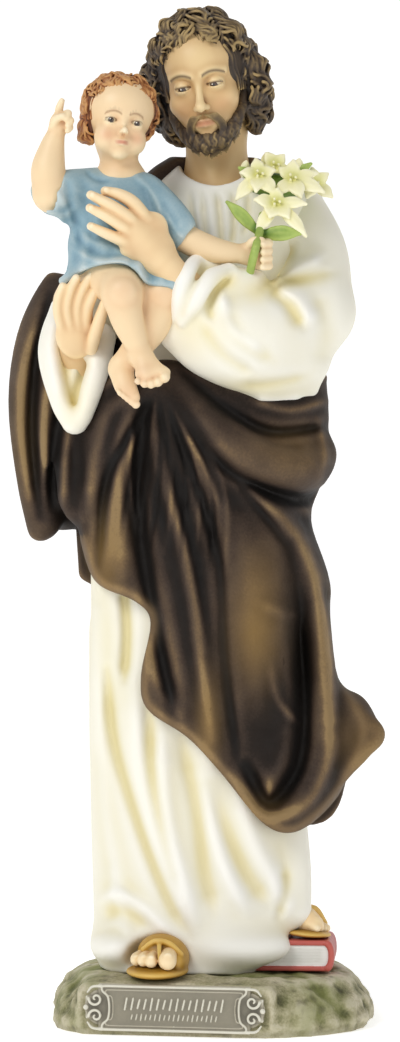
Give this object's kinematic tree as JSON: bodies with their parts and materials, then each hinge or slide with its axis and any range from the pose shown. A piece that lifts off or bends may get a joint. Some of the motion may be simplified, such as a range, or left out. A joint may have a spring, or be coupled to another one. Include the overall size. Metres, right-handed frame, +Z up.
{
  "type": "saint statue",
  "caption": "Painted cast figurine of a bearded saint who holds a child and lilies, standing on a rock base with a small plate on its front.",
  "frame": {"origin": "centre of the base's flat underside", "axes": "+Z up, the saint faces -Y, the child is on the -X side"},
  "size_m": [0.076, 0.0629, 0.2099],
  "materials": {
    "painted_resin": "satin",
    "pewter": "satin"
  },
  "bodies": {
    "root": {"statue": "painted_resin", "nameplate": "pewter"}
  },
  "joints": []
}
